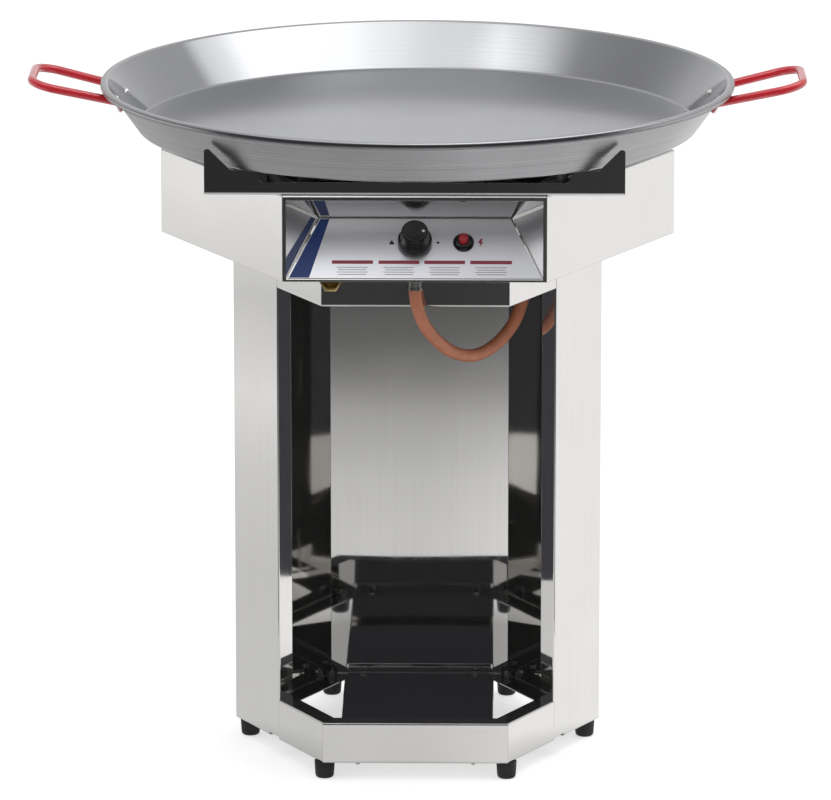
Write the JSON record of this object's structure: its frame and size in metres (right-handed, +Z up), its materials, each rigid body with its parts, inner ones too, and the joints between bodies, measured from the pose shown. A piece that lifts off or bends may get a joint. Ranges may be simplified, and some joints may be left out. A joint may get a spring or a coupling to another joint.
{
  "type": "paella burner",
  "caption": "Free-standing gas paella burner: hexagonal steel column with bottle bay, hexagonal burner housing with sloping control console, and a shallow two-handled pan on horned supports.",
  "frame": {"origin": "on the floor, under the middle of the hexagonal column and of the pan", "axes": "+Z up, -Y towards the front with the console and the bottle opening, +X to the right as seen from the front"},
  "size_m": [0.9804, 0.8, 0.8722],
  "materials": {
    "polished_steel": "mirror-polished stainless sheet",
    "support_steel": "polished stainless sheet",
    "zinc_steel": "bright zinc plate",
    "fascia_print": "silver-white printed plate",
    "foot_rubber": "matt moulded rubber",
    "burner_iron": "dark heat-treated steel",
    "brass": "machined",
    "copper_tube": "drawn tube",
    "white_ceramic": "glazed",
    "lead_sleeve": "satin sleeve",
    "black_plastic": "moulded, semi-gloss",
    "red_plastic": "moulded, gloss",
    "hose_rubber": "smooth satin rubber",
    "pan_steel": "polished carbon steel",
    "red_paint": "gloss enamel"
  },
  "bodies": {
    "stand": {"left_side_panel": "polished_steel", "right_side_panel": "polished_steel", "back_panel": "polished_steel", "front_skirt": "polished_steel", "front_rail": "polished_steel", "bottle_tray": "polished_steel", "housing_shell": "polished_steel", "housing_floor": "polished_steel", "console_shell": "polished_steel", "front_pan_support": "support_steel", "back_pan_support": "support_steel", "tray_screws": "zinc_steel", "foot_studs": "zinc_steel", "housing_screws": "zinc_steel", "support_screws": "zinc_steel", "bracket_bolts": "zinc_steel", "valve_nut": "zinc_steel", "front_ferrule": "zinc_steel", "rear_ferrule": "zinc_steel", "jet_bracket": "zinc_steel", "ignition_bracket": "zinc_steel", "thermocouple": "zinc_steel", "control_fascia": "fascia_print", "foot_front_left": "foot_rubber", "foot_front_right": "foot_rubber", "foot_left": "foot_rubber", "foot_right": "foot_rubber", "foot_back_left": "foot_rubber", "foot_back_right": "foot_rubber", "outer_burner_ring": "burner_iron", "inner_burner_ring": "burner_iron", "feed_arms": "burner_iron", "burner_hub": "burner_iron", "burner_bracket": "burner_iron", "mixing_tube": "burner_iron", "jet_holder": "brass", "valve_body": "brass", "inlet_socket": "brass", "inlet_nut": "brass", "outlet_fitting": "brass", "inlet_pipe": "copper_tube", "thermocouple_lead": "copper_tube", "spark_electrode": "white_ceramic", "ignition_lead": "lead_sleeve", "igniter_body": "black_plastic", "igniter_bezel": "black_plastic", "gas_hose": "hose_rubber"},
    "valve_stem": {"valve_spindle": "zinc_steel"},
    "knob": {"control_knob": "black_plastic"},
    "igniter_key": {"igniter_button": "red_plastic"},
    "paella_pan": {"pan": "pan_steel", "left_handle": "red_paint", "right_handle": "red_paint", "handle_rivets": "zinc_steel"}
  },
  "joints": [
    {"name": "knob_push", "type": "slide", "parent": "stand", "child": "valve_stem", "axis": [0, 0.7071, -0.7071], "range_m": [0, 0.004], "stiffness_N_per_m": 1500},
    {"name": "knob_turn", "type": "hinge", "parent": "valve_stem", "child": "knob", "pos_m": [0, -0.24327, 0.70468], "axis": [0, -0.7071, 0.7071], "range_deg": [0, 180]},
    {"name": "igniter_press", "type": "slide", "parent": "stand", "child": "igniter_key", "axis": [0, 0.7071, -0.7071], "range_m": [0, 0.005], "stiffness_N_per_m": 800},
    {"name": "pan_lift", "type": "slide", "parent": "stand", "child": "paella_pan", "axis": [0, 0, 1], "range_m": [0, 0.25]}
  ]
}
